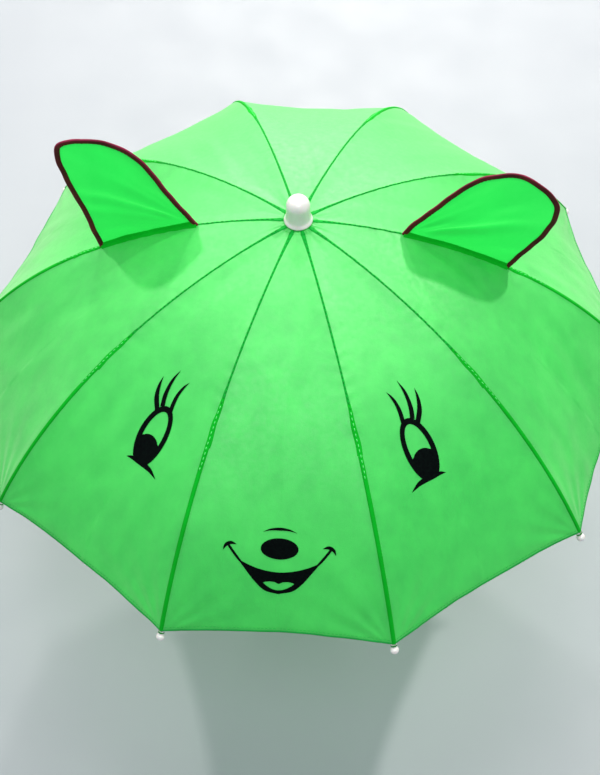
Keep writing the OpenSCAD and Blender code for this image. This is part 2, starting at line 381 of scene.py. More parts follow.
def thread_material(name, light, dark):
    s = Shader(name)
    twist = s.noise(2600.0, 1.0, 0.5, (1.0, 0.6, 0.6))
    colour = s.mix(s.range(twist, 0.35, 0.65), dark, light)
    rough = s.range(twist, 0.3, 0.7, 0.45, 0.65)
    return s.surface(colour, rough, s.bump(twist, 0.3, 0.0002), Specular_IOR_Level=0.15)


def binding_material(name, light, dark):
    s = Shader(name)
    ribs = s.noise(1500.0, 2.0, 0.6, (1.0, 1.0, 0.35))
    colour = s.mix(s.range(s.noise(55.0, 3.0), 0.35, 0.65), dark, light)
    rough = s.range(ribs, 0.3, 0.7, 0.55, 0.75)
    sheen = dict(Sheen_Weight=0.2, Sheen_Roughness=0.35, Sheen_Tint=(0.85, 0.12, 0.3, 1.0))
    return s.surface(colour, rough, s.bump(ribs, 0.4, 0.0003), Specular_IOR_Level=0.12, **sheen)


def ink_material(name):
    s = Shader(name)
    worn = s.range(s.noise(500.0, 4.0, 0.7), 0.4, 0.75)
    colour = s.mix(worn, (0.0004, 0.001, 0.0012), (0.0012, 0.004, 0.003))
    rough = s.range(worn, 0.0, 1.0, 0.5, 0.65)
    return s.surface(colour, rough, s.bump(s.weave(), 0.2, 0.00006), Specular_IOR_Level=0.03)


def floor_material(name):
    s = Shader(name)
    colour = s.mix(s.range(s.noise(1.6, 3.0), 0.3, 0.7), (0.26, 0.275, 0.3), (0.29, 0.305, 0.33))
    return s.surface(colour, s.range(s.noise(14.0, 3.0), 0.3, 0.7, 0.5, 0.62))


CLOTH = cloth_material("green_cloth", (0.03, 0.71, 0.084), (0.0, 0.46, 0.05), (0.01, 0.7, 0.06), 0.38)
EAR_CLOTH = cloth_material(
    "ear_cloth", (0.016, 0.5, 0.07), (0.006, 0.42, 0.05), (0.01, 0.66, 0.07), 0.5, gloss=0.5, sheen=0.4
)
SEAM_CLOTH = sewn_material(
    "seam_cloth", (0.0, 0.35, 0.03), (0.0, 0.27, 0.022), (0.0, 0.36, 0.02), 0.15, 0.65, 0.08, 0.03
)
# Darker band on the lower seam: partly the doubled seam, partly painted shadow of the rib under the cloth.
SEAM_BAND_AND_RIB_SHADOW = sewn_material("seam_band_and_painted_rib_shadow", (0.0, 0.4, 0.016), (0.0, 0.31, 0.01), (0.0, 0.4, 0.01))
# Darker cloth at the ear's foot: partly the doubled seam allowance, partly painted shade where the ear meets
# the canopy.
EAR_FOOT_AND_SHADE = sewn_material("ear_foot_and_painted_shade", (0.0, 0.46, 0.016), (0.0, 0.36, 0.01), (0.0, 0.46, 0.01))
HEM_CLOTH = sewn_material(
    "hem_cloth", (0.004, 0.34, 0.05), (0.003, 0.27, 0.04), (0.0, 0.5, 0.03), 0.25, gloss=0.2, sheen=0.1
)
THREAD = thread_material("green_thread", (0.0, 0.24, 0.02), (0.0, 0.15, 0.012))
HEM_THREAD = thread_material("hem_thread", (0.02, 0.54, 0.08), (0.008, 0.4, 0.05))
PALE_THREAD = thread_material("pale_thread", (0.12, 0.74, 0.18), (0.05, 0.5, 0.1))
DARK_THREAD = thread_material("binding_thread", (0.03, 0.006, 0.006), (0.012, 0.003, 0.003))
BINDING = binding_material("dark_binding", (0.08, 0.012, 0.01), (0.04, 0.007, 0.006))
# A lighter maroon-pink: a painted highlight on the binding's outer fold.
BINDING_FOLD_HIGHLIGHT = binding_material("binding_fold_painted_highlight", (0.19, 0.012, 0.042), (0.11, 0.008, 0.022))
INK = ink_material("black_print")
PLASTIC = plastic_material("white_plastic")
STEEL = steel_material("zinc_steel")
FLOOR = floor_material("pale_floor")


# ---- the cloth surface
def dome_height(x):
    """Height of the cloth over a rib at a distance out from the shaft."""
    return CENTRE_Z + np.sqrt(DOME_R**2 - (x - DOME_X) ** 2)


def dome_place(radius, slope):
    """Distance out from the shaft and height, for a radius and slope about the dome's centre."""
    return DOME_X + radius * np.sin(slope), CENTRE_Z + radius * np.cos(slope)


def half_width(slope):
    """Half the straight distance between two ribs at a slope."""
    return (DOME_X + DOME_R * np.sin(slope)) * math.sin(HALF)


def gore_cloth(gore, slope, u):
    """Points of the cloth: u runs across a gore from -1 at its own rib to 1 at the next."""
    gore, slope, u = np.broadcast_arrays(gore, slope, u)
    half = half_width(slope)
    down = DOME_R * slope
    up = DOME_R * (SLOPE_RIM - slope)
    across = half * u
    near = half * (1 - np.abs(u))
    rib = np.where(u < 0, gore, gore + 1) % GORES
    open_ = 1 - u * u
    sag = (0.0006 + 0.0042 * ramp(slope, 0.15, 0.95)) * open_
    soft = np.sqrt(np.clip(open_, 0, 1)) * ramp(near, 0.0, 0.012)
    broad = 0.0011 * smooth_noise(down / 0.085 + 3.1 * gore, across / 0.055 + 7.7 * gore, 11) * soft
    lean = smooth_noise(down / 0.12 + 5.3 * gore, across / 0.014 + 2.1 * gore + down / 0.07, 23)
    streak = 0.00065 * lean * soft * ramp(down, 0.03, 0.1)
    swirl = np.arctan2(near, up + 0.004)
    reach = np.hypot(near, up)
    corner = 0.0005 * np.sin(swirl * 15 + 2.4 * rib) * np.exp(-reach / 0.055)
    corner = corner * ramp(reach, 0.004, 0.03) * ramp(near, 0.0, 0.01)
    folds = smooth_noise(2.6 * u + 4.1 * gore, down / 0.09 + 1.9 * gore, 29)
    crown = (0.0005 + 0.0005 * np.exp(-(down - 0.02) / 0.015)) * folds * np.exp(-(down - 0.02) / 0.06) * open_
    slack = ramp(SEAM_CHANGE - slope, -0.03, 0.06)
    ripple = np.sin(down / 0.0064 * math.pi + 2.5 * smooth_noise(down / 0.03, rib * 3.3, 5))
    size = 0.00028 * (0.6 + 0.4 * smooth_noise(down / 0.02, rib * 1.7, 9)) * slack * ramp(down, 0.03, 0.07)
    pucker = size * ripple * np.exp(-near / 0.006) * ramp(near, 0.0, 0.0012)
    relief = broad + streak + corner + crown + pucker - sag
    out = (DOME_X + DOME_R * np.sin(slope)) * math.cos(HALF) + relief * np.sin(slope)
    return turned(gore + 0.5, out, across, CENTRE_Z + (DOME_R + relief) * np.cos(slope))


def gore_normal(gore, slope, u):
    """Outward normals of the cloth, from a small step down and a small step across."""
    step_down, step_across = 0.0009, 0.006
    down = gore_cloth(gore, slope + step_down, u) - gore_cloth(gore, slope - step_down, u)
    far = gore_cloth(gore, slope, np.minimum(u + step_across, 1.0))
    near = gore_cloth(gore, slope, np.maximum(u - step_across, -1.0))
    return unit(np.cross(down, far - near))


def rib_side(k, share):
    """Gore and u for a share from -1 to 1 across the panel centred on rib k."""
    share = np.asarray(share, float)
    return np.where(share >= 0, k, (k - 1) % GORES), np.where(share >= 0, share - 1, share + 1)


def rib_cloth(k, slope, share):
    gore, u = rib_side(k, share)
    return gore_cloth(gore, slope, u)


def rib_normal(k, slope, share):
    gore, u = rib_side(k, share)
    found = gore_normal(gore, slope, u)
    other = gore_normal((k - 1) % GORES, slope, 1.0)
    blend = (np.abs(share) < 1e-6)[..., None]
    return unit(np.where(blend, found + other, found))


def on_rib(k, slope, across, lift):
    """Point lift above the cloth, at a distance in metres across from rib k's line."""
    slope, across, lift = np.broadcast_arrays(slope, across, lift)
    share = across / half_width(slope)
    return rib_cloth(k, slope, share) + rib_normal(k, slope, share) * lift[..., None]


def on_gore(gore, t, y, lift):
    """Point lift above the cloth, t across from the gore's middle and y down from the crown, in metres."""
    slope = y / DOME_R
    u = t / half_width(slope)
    return gore_cloth(gore, slope, u) + gore_normal(gore, slope, u) * lift


def hem_slope(u):
    """The hem is cut in a shallow arch between the ribs."""
    return SLOPE_RIM - 0.0022 / DOME_R * (1 - u * u)


def soft_on_rib(obj, k, side=0):
    """Lets cloth ride on rib k. Cloth on one side of it, 1 or -1, also gets a mesh of its own.
    """
    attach(obj, f"rib_body_{k}")
    if side:
        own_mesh(obj)
    return obj


# ---- camera
camera = bpy.data.objects.new("camera", bpy.data.cameras.new("camera"))
camera.data.sensor_fit = "HORIZONTAL"
camera.data.sensor_width = 36.0
camera.data.lens = 85.05
right = Vector((0.99762, 0.06755, -0.0137)).normalized()
back = Vector((0.04897, -0.55492, 0.83046)).normalized()
turn = Matrix((right, back.cross(right), back)).transposed().to_4x4()
camera.matrix_world = Matrix.Translation((0.0643, -0.7518, CANOPY_TOP + 0.8803)) @ turn
bpy.context.scene.collection.objects.link(camera)
bpy.context.scene.camera = camera


# ---- cloth panels
ROWS = 236
STRIP_COLUMNS = 12
HALF_COLUMNS = 30


def strip_share(slope):
    """How far the strip beside a rib reaches towards the gore's middle, as a share of that way."""
    return np.minimum(STRIP / half_width(slope), 1.0)


def cloth_points(k, down, share):
    """Points, normals and flat coordinates of panel k's cloth, from the top at down 0 to the hem at 1."""
    _, u = rib_side(k, share)
    slope = SLOPE_TOP + down * (hem_slope(u) - SLOPE_TOP)
    uv = np.stack([0.1 + share * half_width(slope), DOME_R * slope], -1)
    return [a.reshape(-1, a.shape[-1]) for a in (rib_cloth(k, slope, share), rib_normal(k, slope, share), uv)]


def panel_rows():
    down = np.linspace(0, 1, ROWS)[:, None]
    return down, strip_share(SLOPE_TOP + down * (SLOPE_RIM - SLOPE_TOP))


def panel(k):
    """The strip of cloth over rib k."""
    down, reach = panel_rows()
    share = reach * np.linspace(-1, 1, 2 * STRIP_COLUMNS + 1)[None, :]
    points, normals, uv = cloth_points(k, np.broadcast_to(down, share.shape), share)
    return make(f"canopy_panel_{k}", points, grid_faces(*share.shape), CLOTH, normals=normals, uv=uv)


def half_gore(k, side, name):
    """The cloth from rib k's strip to the middle of the gore on one side."""
    down, reach = panel_rows()
    first = int(np.argmax(reach[:, 0] < 1.0))
    step = np.linspace(0, 1, HALF_COLUMNS + 1)[None, :]
    share = reach[first:] + (1 - reach[first:]) * step
    share = share if side > 0 else -share[:, ::-1]
    parts = zip(
        cloth_points(k, down[first - 1 : first], np.array([[float(side)]])),
        cloth_points(k, np.broadcast_to(down[first:], share.shape), share),
    )
    points, normals, uv = [np.vstack(pair) for pair in parts]
    faces = [(0, 1 + j, 2 + j) for j in range(HALF_COLUMNS)] + grid_faces(*share.shape, start=1)
    return make(name, points, faces, CLOTH, normals=normals, uv=uv)


def seam(k):
    """The sewn seam over rib k: narrow and puckered above, a wider band below, painted dark partly as doubled
    seam and partly as the shadow of the rib under the cloth.
    """
    above = np.linspace(SLOPE_TOP + 0.004, SEAM_CHANGE, 200)
    slope = np.concatenate([above, np.linspace(SEAM_CHANGE + 0.001, SLOPE_RIM - 0.002, 140)])
    upper = slope <= SEAM_CHANGE
    fray = smooth_noise(slope * DOME_R / 0.006, 2.7 * k, 3)
    flap = ramp(slope, SEAM_CHANGE - 0.16, SEAM_CHANGE - 0.02)
    # Near the crown the dark seam widens: partly cloth tucked into the gathers, partly painted shade in them.
    tuck_and_shade = 0.0012 * np.exp(-(slope - SLOPE_TOP) * DOME_R / 0.014)
    width = np.where(upper, 0.00102 + tuck_and_shade + 0.0016 * flap + 0.00008 * fray, 0.0021 + 0.00008 * fray)
    height = np.where(upper, 0.00026 + 0.00005 * fray, 0.00055)
    height = height * ramp(slope, SLOPE_TOP, SLOPE_TOP + 0.02)
    drift = np.where(upper, 0.0004 * flap * np.sin(slope * DOME_R / 0.0047 + k), 0.0)
    shape = mirrored([(-1.0, -0.5), (-0.9, 0.25), (-0.55, 0.95), (-0.18, 1.0), (0.0, 0.72)])
    across = drift[:, None] + width[:, None] * shape[:, 0]
    points = on_rib(k, slope[:, None], across, height[:, None] * shape[:, 1])
    obj = make(f"seam_{k}", points, grid_faces(*across.shape), SEAM_CLOTH, smooth=70)
    # Lower down the seam band is painted darker: partly doubled cloth, partly painted shadow of the rib under
    # it.
    return second_material(obj, SEAM_BAND_AND_RIB_SHADOW, np.repeat(slope[1:] > SEAM_CHANGE - 0.11, len(shape) - 1))


def rib_tie(k, slope):
    """One turn of thread round the rib and through the cloth."""
    turn = circle(20)
    radius = RIB_TOP + 0.0015 * np.sin(turn) - 0.0011
    angle = slope + 0.0004 * np.sin(turn) / DOME_R
    x, z = dome_place(radius, angle)
    return tube_parts(turned(k, x, 0.0017 * np.cos(turn), z), 0.00022, 6, closed=True)


def seam_thread(k):
    """The line of stitches along the upper seam, and the ties that hold the cloth to the rib."""
    place = np.arange(0.03, SEAM_CHANGE * DOME_R + 0.02, 0.0042) / DOME_R
    pale = place > SEAM_CHANGE - 0.1
    wander = 0.00012 * smooth_noise(place * 90, 4.4 * k, 17)
    lift = np.where(place > SEAM_CHANGE, 0.00058, 0.00032)
    centre = on_rib(k, place, wander, lift)
    ahead = on_rib(k, place + 0.004, wander, lift)
    out = rib_normal(k, place, np.zeros_like(place))
    parts = [stitches(centre[pale], (ahead - centre)[pale], out[pale], 0.0024, 0.00034)]
    light_faces = len(parts[0][1])
    parts.append(stitches(centre[~pale], (ahead - centre)[~pale], out[~pale], 0.0027, 0.0003))
    parts += [rib_tie(k, spot + 0.0019 * n) for spot in (0.36, 0.74) for n in range(4)]
    obj = make(f"seam_thread_{k}", *join_parts(parts), THREAD, smooth=60)
    return second_material(obj, PALE_THREAD, np.arange(len(obj.data.polygons)) < light_faces)


def hem(k, side, name):
    """The folded hem along the free edge: over rib k's strip, or along the half gore on one side."""
    reach = float(strip_share(SLOPE_RIM))
    share = np.sort(np.linspace(reach, 1, 27) * side) if side else np.linspace(-reach, reach, 13)
    _, u = rib_side(k, share)
    edge = hem_slope(u)
    outside = [(0.0012, 0.0001), (0.0008, 0.00035), (0.0, 0.0004), (-0.0005, 0.0001), (-0.0005, -0.0005)]
    inside = [(0.0, -0.0008), (0.001, -0.0009), (0.004, -0.0008), (0.0044, -0.0005)]
    fold = np.array(outside + inside)
    slope = edge[:, None] - fold[:, 0] / DOME_R
    wide = np.broadcast_to(share[:, None], slope.shape)
    points = rib_cloth(k, slope, wide) + rib_normal(k, slope, wide) * fold[:, 1:]
    obj = make(name, points, grid_faces(*slope.shape, flip=True), HEM_CLOTH, smooth=75)
    return second_material(obj, CLOTH, np.tile(np.arange(len(fold) - 1) >= len(outside), len(share) - 1))


def hem_thread(k, side, name):
    """The stitches of the hem, over rib k's strip or along the half gore on one side."""
    place = np.arange(0.004, 0.0925, 0.0032)
    near = place[place < STRIP]
    place = place[place > STRIP] * side if side else np.concatenate([-near, near])
    _, u = rib_side(k, place / half_width(SLOPE_RIM))
    slope = hem_slope(u) - 0.0032 / DOME_R
    centre = on_rib(k, slope, place, 0.00008)
    ahead = on_rib(k, slope, place + 0.001 * np.sign(place), 0.00008)
    normal = rib_normal(k, slope, place / half_width(slope))
    return make(name, *stitches(centre, ahead - centre, normal, 0.0021, 0.0002), HEM_THREAD, smooth=60)


for k in range(GORES):
    cloth = soft_on_rib(panel(k), k)
    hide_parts(f"canopy_{k}")
    extras = [
        soft_on_rib(seam(k), k),
        soft_on_rib(seam_thread(k), k),
        soft_on_rib(hem(k, 0, f"hem_{k}"), k),
        soft_on_rib(hem_thread(k, 0, f"hem_thread_{k}"), k),
    ]
    for side, gore, part in ((1, k, "a"), (-1, (k - 1) % GORES, "b")):
        half = soft_on_rib(half_gore(k, side, f"gore_{gore}_{part}"), k, side)
        extras = [
            soft_on_rib(hem(k, side, f"gore_{gore}_{part}_hem"), k, side),
            soft_on_rib(hem_thread(k, side, f"gore_{gore}_{part}_thread"), k, side),
        ]


# ---- the cloth centre
def cloth_centre():
    """The clamped middle of the cloth, gathered under the finial."""
    radius = np.linspace(0.0047, 0.015, 14)
    c, s = circle_points(160).T
    turn = circle(160)
    gather = 0.00022 * np.outer(ramp(radius, 0.008, 0.014), np.sin(turn * 30) + 0.5 * np.sin(turn * 17 + 1))
    height = dome_height(radius)[:, None] - 0.0005
    points = np.stack([np.outer(radius, c), np.outer(radius, s), height + gather], -1)
    uv = points[..., :2] + 0.1
    faces = grid_faces(14, 160, wrap_cols=True)
    return make("canopy_gather", points, faces, CLOTH, smooth=80, uv=uv)


def crown_pleats():
    """The ends of the ten seams, pleated in under the finial."""
    radius = np.linspace(0.0112, 0.0158, 10)
    shape = mirrored([(-1.0, -0.6), (-0.8, 0.3), (-0.4, 0.8), (0.0, 0.6)])
    parts = []
    for k in range(GORES):
        wide = np.linspace(0.0012 + 0.0004 * math.sin(2.3 * k), 0.0021, 10)[:, None] * shape[:, 0]
        rise = dome_height(radius)[:, None] + 0.0003 * shape[:, 1]
        points = turned(k, np.broadcast_to(radius[:, None], wide.shape), wide, rise)
        parts.append((points.reshape(-1, 3), grid_faces(*wide.shape)))
    return make("crown_pleats", *join_parts(parts), SEAM_CLOTH, smooth=70)


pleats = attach(crown_pleats(), "shaft")
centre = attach(cloth_centre(), "shaft")
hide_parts("canopy_centre")


# ---- the print
INK_LIFT = 0.00034  # the ink lies this far above the cloth


def filled(outline, rings=7):
    """Points and faces that fill a round outline from its middle."""
    middle = outline.mean(0)
    share = np.linspace(1, 0.06, rings)[:, None, None]
    points = middle + (outline - middle) * share
    n = len(outline)
    faces = grid_faces(rings, n, wrap_cols=True) + [tuple(range((rings - 1) * n, rings * n))[::-1]]
    return points.reshape(-1, 2), faces


def between(first, second, steps):
    """Points and faces of the band between two curves of as many points."""
    share = np.linspace(0, 1, steps + 1)[:, None, None]
    points = first * (1 - share) + second * share
    return points.reshape(-1, 2), grid_faces(steps + 1, len(first))


def stroke(line, steps=44):
    """A brush stroke: a smooth line of (across, down, width)."""
    path, wide = np.hsplit(spline(line, steps), [2])
    wide = np.maximum(wide, 0.12) / 2
    ahead = unit(np.gradient(path, axis=0))
    side = np.stack([-ahead[:, 1], ahead[:, 0]], -1)
    return between(path - side * wide, path + side * wide, 4)


def ray_ellipse(origin, direction, cx, cy, rx, ry):
    """Distances from a point along directions to an ellipse, nearest first."""
    o = (origin - (cx, cy)) / (rx, ry)
    d = direction / (rx, ry)
    a, b, c = (d * d).sum(-1), 2 * (d * o).sum(-1), (o * o).sum(-1) - 1
    root = np.sqrt(np.maximum(b * b - 4 * a * c, 0))
    inside = np.where(b * b - 4 * a * c > 0, 1.0, np.nan)
    return (-b - root) / (2 * a) * inside, (-b + root) / (2 * a) * inside


def eye_shapes():
    """One eye in millimetres: across from the gore's middle, towards the nose, and down from the crown."""
    middle, low = 12.4, 259.6
    origin = np.array([middle, 223.0])
    turn = np.linspace(0, 2 * math.pi, 145)
    direction = np.stack([np.cos(turn), np.sin(turn)], -1)
    outer = ray_ellipse(origin, direction, middle, 234.5, 13.3, 28.5)[1]
    inner = ray_ellipse(origin, direction, middle, 234.0, 9.0, 22.8)[1]
    pupil = ray_ellipse(origin, direction, middle, 243.8, 9.8, 9.9)[0]
    inner = np.where(np.isfinite(pupil) & (pupil > 0), np.fmin(inner, pupil), inner)
    floor = np.where(direction[:, 1] > 0.05, (low - origin[1]) / np.maximum(direction[:, 1], 0.05), np.inf)
    outer = np.minimum(outer, floor)
    ring = between(origin + direction * inner[:, None], origin + direction * outer[:, None], 10)
    lines = [
        [(5.0, 214.6, 4.2), (-0.6, 207.0, 4.3), (-3.5, 201.0, 3.4), (-5.3, 194.2, 2.1), (-6.1, 187.3, 0.1)],
        [(6.9, 209.0, 4.0), (4.3, 201.5, 3.7), (2.9, 193.5, 3.0), (2.6, 184.8, 2.2), (3.9, 175.2, 0.1)],
        [(15.6, 210.0, 3.8), (13.7, 199.5, 3.4), (13.4, 192.0, 2.8), (14.4, 185.0, 1.9), (16.3, 179.4, 0.1)],
        [(0.0, 262.0, 0.1), (5.0, 260.1, 3.0), (12.0, 259.4, 4.4), (19.6, 258.9, 4.6), (25.0, 259.3, 3.8)]
        + [(29.4, 260.8, 2.2), (33.6, 262.5, 0.1)],
    ]
    return [ring] + [stroke(line) for line in lines]


def mouth_shapes():
    """The open mouth round its tongue, the nose and the line above it, and the two mouth corners."""
    low = spline([(0, 335.6), (11, 332.6), (19, 325.0), (27, 314.0), (33, 305.2), (40, 294.4)], 200)
    t = np.linspace(-33, 33, 133)
    lower = np.interp(np.abs(t), low[:, 0], low[:, 1])
    upper = 315.8 - 0.0098 * t * t
    upper = np.minimum(upper, lower - 0.7)
    tongue = [(0, 326.2), (1.5, 325.6), (3.2, 324.6), (7.0, 324.2), (10.5, 324.7), (12.6, 325.6)]
    tongue_top = np.interp(np.abs(t), *np.transpose(tongue))
    tongue_low = 332.0 - 6.6 * (t / 12.6) ** 2
    middle = (upper + lower) / 2 + 1.6 * np.clip(1 - (np.abs(t) - 12.6) / 12, 0, 1)
    inside = np.abs(t) < 12.6
    top = np.where(inside, tongue_top, middle)
    bottom = np.where(inside, np.maximum(tongue_low, tongue_top), middle)
    flat = [np.stack([t, edge], -1) for edge in (upper, top, bottom, lower)]
    shapes = [
        between(flat[0], flat[1], 4),
        between(flat[2], flat[3], 4),
        filled((0, 295.2) + circle_points(72) * (14.9, 9.2)),
    ]
    bridge = [(-13.4, 281.0, 0.1), (-7, 278.8, 1.7), (0, 278.2, 2.5), (7, 278.8, 1.7), (13.4, 281.0, 0.1)]
    shapes.append(stroke(bridge))
    corner = np.array([(27.0, 311.4, 0.6), (31.6, 306.2, 1.9), (36.0, 300.2, 2.1), (40.4, 293.6, 2.0)])
    cheek = np.array([(44.6, 298.0, 0.2), (42.4, 293.6, 2.6), (38.6, 291.7, 2.9), (34.0, 292.9, 0.2)])
    for side in (-1, 1):
        shapes += [stroke(line * (side, 1, 1), 24) for line in (corner, cheek)]
    return shapes


def one_half(points, faces, side):
    """The part of a flat shape on one side of the line x = 0, in triangles."""
    mesh = bpy.data.meshes.new("flat")
    mesh.from_pydata(np.column_stack([points, np.zeros(len(points))]).tolist(), [], faces)
    cut = bmesh.new()
    cut.from_mesh(mesh)
    bpy.data.meshes.remove(mesh)
    everything = cut.verts[:] + cut.edges[:] + cut.faces[:]
    bmesh.ops.bisect_plane(cut, geom=everything, plane_co=(0, 0, 0), plane_no=(-side, 0, 0), clear_outer=True)
    bmesh.ops.triangulate(cut, faces=cut.faces[:])
    cut.verts.index_update()
    points = np.array([v.co for v in cut.verts], float)
    faces = [[v.index for v in f.verts] for f in cut.faces]
    cut.free()
    return points, faces


def print_piece(name, gore, shapes, flip, side):
    """The ink on one side of a gore's middle."""
    points, faces = join_parts(shapes)
    points, tri = one_half(points * (flip, 1), faces, side)
    t, y = points[:, 0] * MM, points[:, 1] * MM
    placed = on_gore(gore, t, y, INK_LIFT)
    normals = gore_normal(gore, y / DOME_R, t / half_width(y / DOME_R))
    a, b, c = np.array(tri).T
    facing = (np.cross(placed[b] - placed[a], placed[c] - placed[a]) * normals[a]).sum(-1)
    tri = [f if good > 0 else f[::-1] for f, good in zip(tri, facing)]
    return make(name, placed, tri, INK, normals=normals, uv=np.stack([t + 0.2, y], -1))


for name, gore, shapes, flip in (
    ("print_eye_left", 6, eye_shapes(), 1),
    ("print_eye_right", 8, eye_shapes(), -1),
    ("print_mouth", 7, mouth_shapes(), 1),
):
    for side, k in ((-1, gore), (1, gore + 1)):
        ink = print_piece(f"{name}_{'inner' if side * flip > 0 else 'outer'}", gore, shapes, flip, side)
        soft_on_rib(ink, k % GORES, -side)


# ---- the ears
# Each outline starts at the crown end of the foot, and is in millimetres out from the shaft and up from the
# top of the canopy. The fold is an angle at that end, the curl is where the outer part bends over.
EARS = {
    "right": dict(
        sign=1, rib=0, fold=0.16, lean=0.003, cup=-0.003, curl=(0.15, 0.206),
        edge=[
            (85, -11), (91, -1), (104, 15), (116, 31), (127, 45), (136, 54), (146, 60), (159, 62), (172, 62),
            (183, 57), (193, 50), (202, 41), (207, 28), (206, 11), (200, -7), (190, -23), (175, -48),
        ],
    ),
    "left": dict(
        sign=-1, rib=5, fold=0.3, lean=0.005, cup=0.004, curl=(0.14, 0.19),
        edge=[
            (83, -11), (90, -1), (100, 14), (110, 31), (121, 50), (134, 62), (148, 71), (162, 77), (176, 79),
            (186, 76), (190, 68), (190, 56), (187, 40), (183.5, 23), (179, 5), (174.5, -14), (168, -43),
        ],
    ),
}
EAR_U = 120
EAR_V = 44
EAR_SMOOTHING = 14
EAR_SINK = 0.0002  # the foot starts this far inside the cloth


def ear_surface(ear):
    """The ear's sheet, as rows from its seam to its edge, with its flat coordinates."""
    outline = [(x * MM, CANOPY_TOP + h * MM) for x, h in ear["edge"]]
    for end in (0, -1):
        outline[end] = (outline[end][0], dome_height(outline[end][0]) - EAR_SINK)
    edge = spline(outline, EAR_U)
    for _ in range(EAR_SMOOTHING):
        edge[1:-1] = (edge[:-2] + 2 * edge[1:-1] + edge[2:]) / 4
    length = travelled(edge)
    base_x = edge[0, 0] + (edge[-1, 0] - edge[0, 0]) * ramp(length / length[-1], 0.02, 0.98)
    base = np.stack([base_x, dome_height(base_x) - EAR_SINK], -1)
    edge[0], edge[-1] = base[0], base[-1]
    v = np.linspace(0, 1, EAR_V)[:, None, None]
    flat = base[None] * (1 - v) + edge[None] * v
    x, z = flat[..., 0], flat[..., 1]
    rise = z - dome_height(x)
    tall = np.clip(rise / 0.08, 0, 1.6)
    fan = np.arctan2(z - edge[0, 1], x - edge[0, 0])
    reach = np.hypot(z - edge[0, 1], x - edge[0, 0])
    held = ramp(rise, 0.0, 0.02)
    fold = np.exp(-(((fan - ear["fold"]) / 0.075) ** 2))
    fold = fold * ramp(reach, 0.012, 0.03) * (1 - ramp(reach, 0.075, 0.125))
    crease = (0.0022 * fold + 0.0006 * np.sin(fan * 11 + 0.6) * ramp(reach, 0.01, 0.05)) * held
    fine = 0.0006 * smooth_noise(reach / 0.03, fan * 9, 31 + ear["rib"]) * held
    lean = ear["lean"] * tall - 0.004 * tall * ramp(x, *ear["curl"])
    way = np.clip((x - edge[0, 0]) / (edge[-1, 0] - edge[0, 0]), 0, 1)
    cup = ear["cup"] * np.sin(math.pi * way) * tall
    return np.stack([ear["sign"] * x, lean + cup + crease + fine, z], -1), flat


def ear_frame(points):
    """The free edge, and its directions along, inward and out of the cloth."""
    edge = points[-1]
    along = unit(np.gradient(edge, axis=0))
    inward = np.cross(np.array([0.0, 1.0, 0.0]), along)
    flip = np.sign(((points[0].mean(0) - edge) * inward).sum(-1).sum())
    inward = unit(inward) * flip
    return edge, along, inward, np.cross(along, inward)


def ear_binding(side, edge, _, inward, facing):
    """The bound edge, a slightly wavy folded tape whose outer fold is painted a lighter maroon-pink as a
    highlight.
    """
    length = travelled(edge)
    wave = 0.00016 * np.sin(length / 0.0031) + 0.0002 * smooth_noise(length / 0.012, 0.0, 41)
    c, s = circle_points(20).T
    section = np.stack([np.sign(c) * np.abs(c) ** 0.75 * 0.0023, np.sign(s) * np.abs(s) ** 0.9 * 0.0012], -1)
    rings = sweep(edge + inward * (0.0016 + wave)[:, None], inward, facing, section)
    rings = rings[:, :: EARS[side]["sign"]]
    last = (len(edge) - 1) * 20
    faces = grid_faces(len(edge), 20, wrap_cols=True)
    # The outer fold's faces, painted lighter as a highlight.
    outer = [7 <= n % 20 <= 11 for n in range(len(faces))] + [False, False]
    faces += [tuple(range(20))[::-1], tuple(range(last, last + 20))]
    return second_material(make(f"ear_{side}_binding", rings, faces, BINDING, smooth=60), BINDING_FOLD_HIGHLIGHT, outer)


def ear_thread(side, edge, along, inward, facing):
    """Stitches through the binding, seen on both faces."""
    length = travelled(edge)
    place = np.arange(0.006, length[-1] - 0.005, 0.0034)
    lines = (edge + inward * 0.003, along, facing)
    found = [np.stack([np.interp(place, length, line[:, n]) for n in range(3)], -1) for line in lines]
    centre, ahead, out = found
    parts = [stitches(centre + out * 0.001 * way, ahead, out * way, 0.0022, 0.00021) for way in (-1, 1)]
    return make(f"ear_{side}_thread", *join_parts(parts), DARK_THREAD, smooth=60)


def ear_foot(side, ear, start, end):
    """The seam allowance folded up along the foot of the ear, painted darker: partly the doubled allowance,
    partly painted shade where the ear meets the canopy.
    """
    x = np.linspace(start + 0.001, end - 0.001, 90)
    slope = np.arcsin((x - DOME_X) / DOME_R)[:, None]
    swell = 0.0007 * smooth_noise(x / 0.009, 0.0, 51 + ear["rib"])
    shape = mirrored([(-0.003, -0.0002), (-0.0015, 0.0007), (-0.0009, 0.0019), (-0.0005, 0.0036)])
    radius = DOME_R + shape[:, 1] + np.where(shape[:, 1] > 0.002, swell[:, None], 0)
    wide = np.broadcast_to(shape[:, 0], radius.shape)
    radius = radius - np.abs(wide) * math.sin(HALF) * np.sin(slope)
    x, z = dome_place(radius, slope)
    faces = grid_faces(*x.shape, flip=ear["sign"] < 0)
    return make(f"ear_{side}_foot", np.stack([ear["sign"] * x, wide, z], -1), faces, EAR_FOOT_AND_SHADE, smooth=70)


def build_ear(side):
    ear = EARS[side]
    body = f"rib_body_{ear['rib']}"
    points, uv = ear_surface(ear)
    sheet = make(f"ear_{side}_cloth", points, grid_faces(*uv.shape[:2]), EAR_CLOTH, smooth=80, uv=uv)
    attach(sheet, body)
    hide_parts(f"ear_{side}")
    free_edge = ear_frame(points)
    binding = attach(ear_binding(side, *free_edge), body)
    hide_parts(f"ear_binding_{side}")
    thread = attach(ear_thread(side, *free_edge), body)
    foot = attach(ear_foot(side, ear, *uv[0, (0, -1), 0]), body)


for side in EARS:
    build_ear(side)


